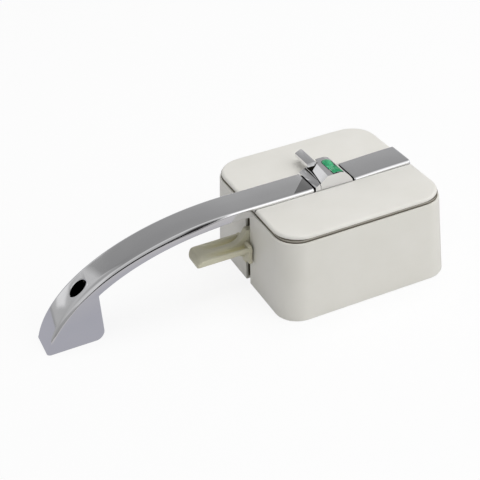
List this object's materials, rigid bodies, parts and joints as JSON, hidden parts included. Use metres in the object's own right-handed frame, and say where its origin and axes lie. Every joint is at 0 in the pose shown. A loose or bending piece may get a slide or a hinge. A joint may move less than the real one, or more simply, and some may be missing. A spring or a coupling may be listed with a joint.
{
  "type": "motorhome door lock",
  "caption": "Inside door lock for a motorhome: cream case and cover, arched chrome grab handle, finger release lever, snib with green indicator, sprung latch bolt",
  "frame": {"origin": "on the axis of the outside handle's square spindle, in the face that is screwed to the door", "axes": "+Z points from the door into the room, +X points from the grab handle's foot to the latch bolt, +Y points to the side the snib's arm lies on"},
  "size_m": [0.2365, 0.0996, 0.0604],
  "materials": {
    "case_plastic": "pale cream moulded plastic, satin",
    "cover_plastic": "pale cream moulded plastic, satin",
    "lever_plastic": "cream moulded plastic, satin",
    "seal_rubber": "soft grey-beige rubber",
    "chrome": "bright chrome plate",
    "black_plastic": "black moulded plastic",
    "clear_lens": "clear acrylic",
    "green_flag": "green printed film",
    "red_flag": "red printed film",
    "white_plastic": "natural white acetal",
    "zinc_steel": "zinc plated sheet steel",
    "bright_steel": "turned steel",
    "spring_steel": "spring steel",
    "cast_zinc": "die-cast zinc, nickel plated"
  },
  "bodies": {
    "case": {"base_shell": "case_plastic", "top_cover": "cover_plastic", "cover_seal": "seal_rubber", "grab_handle": "chrome", "trim_strip": "chrome", "indicator_base": "black_plastic", "indicator_hood": "chrome", "indicator_lens": "clear_lens", "snib_bush": "black_plastic", "friction_washer": "black_plastic", "chassis_plate": "zinc_steel", "top_plate": "zinc_steel", "plate_posts": "zinc_steel", "plate_screws": "bright_steel", "chassis_screws": "bright_steel", "handle_screws": "bright_steel", "trim_screws": "bright_steel", "block_screws": "bright_steel", "inner_screws": "bright_steel", "wall_screws": "bright_steel", "lever_bracket": "zinc_steel", "lever_pin": "bright_steel", "pin_clips": "bright_steel", "pin_spacer": "white_plastic", "lever_return_spring": "spring_steel", "carriage_spring": "spring_steel", "bolt_guide": "white_plastic", "bolt_plate": "bright_steel", "follower_bridge": "zinc_steel"},
    "snib": {"snib_lever": "chrome", "snib_spindle": "bright_steel", "indicator_disc": "white_plastic", "flag_green": "green_flag", "flag_red": "red_flag", "snib_crank": "white_plastic", "spindle_clip": "bright_steel"},
    "lever": {"release_lever": "lever_plastic", "release_arm": "zinc_steel"},
    "carriage": {"bolt_carriage": "zinc_steel", "stop_pin": "bright_steel", "bolt_spring": "spring_steel"},
    "bolt": {"latch_bolt": "cast_zinc"},
    "clutch": {"clutch_bar": "zinc_steel"},
    "follower": {"follower": "cast_zinc"}
  },
  "joints": [
    {"name": "snib_turn", "type": "hinge", "parent": "case", "child": "snib", "pos_m": [-0.0048, 0.008, 0.05], "axis": [0, 0, 1], "range_deg": [0, 90]},
    {"name": "carriage_slide", "type": "slide", "parent": "case", "child": "carriage", "axis": [-1, 0, 0], "range_m": [0, 0.0087], "stiffness_N_per_m": 600, "springref_m": -0.006, "deforming": ["carriage_spring"]},
    {"name": "lever_turn", "type": "hinge", "parent": "case", "child": "lever", "pos_m": [-0.042, -0.00125, 0.032], "axis": [0, 1, 0], "range_deg": [0, 20]},
    {"name": "follower_turn", "type": "hinge", "parent": "case", "child": "follower", "pos_m": [0, 0, 0.01], "axis": [0, 0, -1], "range_deg": [0, 32]},
    {"name": "bolt_slide", "type": "slide", "parent": "carriage", "child": "bolt", "axis": [-1, 0, 0], "range_m": [0, 0.009], "stiffness_N_per_m": 500, "springref_m": -0.006, "deforming": ["bolt_spring"]},
    {"name": "clutch_slide", "type": "slide", "parent": "carriage", "child": "clutch", "axis": [0, -1, 0], "range_m": [0, 0.0072]}
  ],
  "couplings": [
    {"joint": "lever_turn", "follows": "carriage_slide", "rad_per_m": 40},
    {"joint": "follower_turn", "follows": "carriage_slide", "rad_per_m": 61.8},
    {"joint": "clutch_slide", "follows": "snib_turn", "m_per_rad": 0.0045}
  ]
}
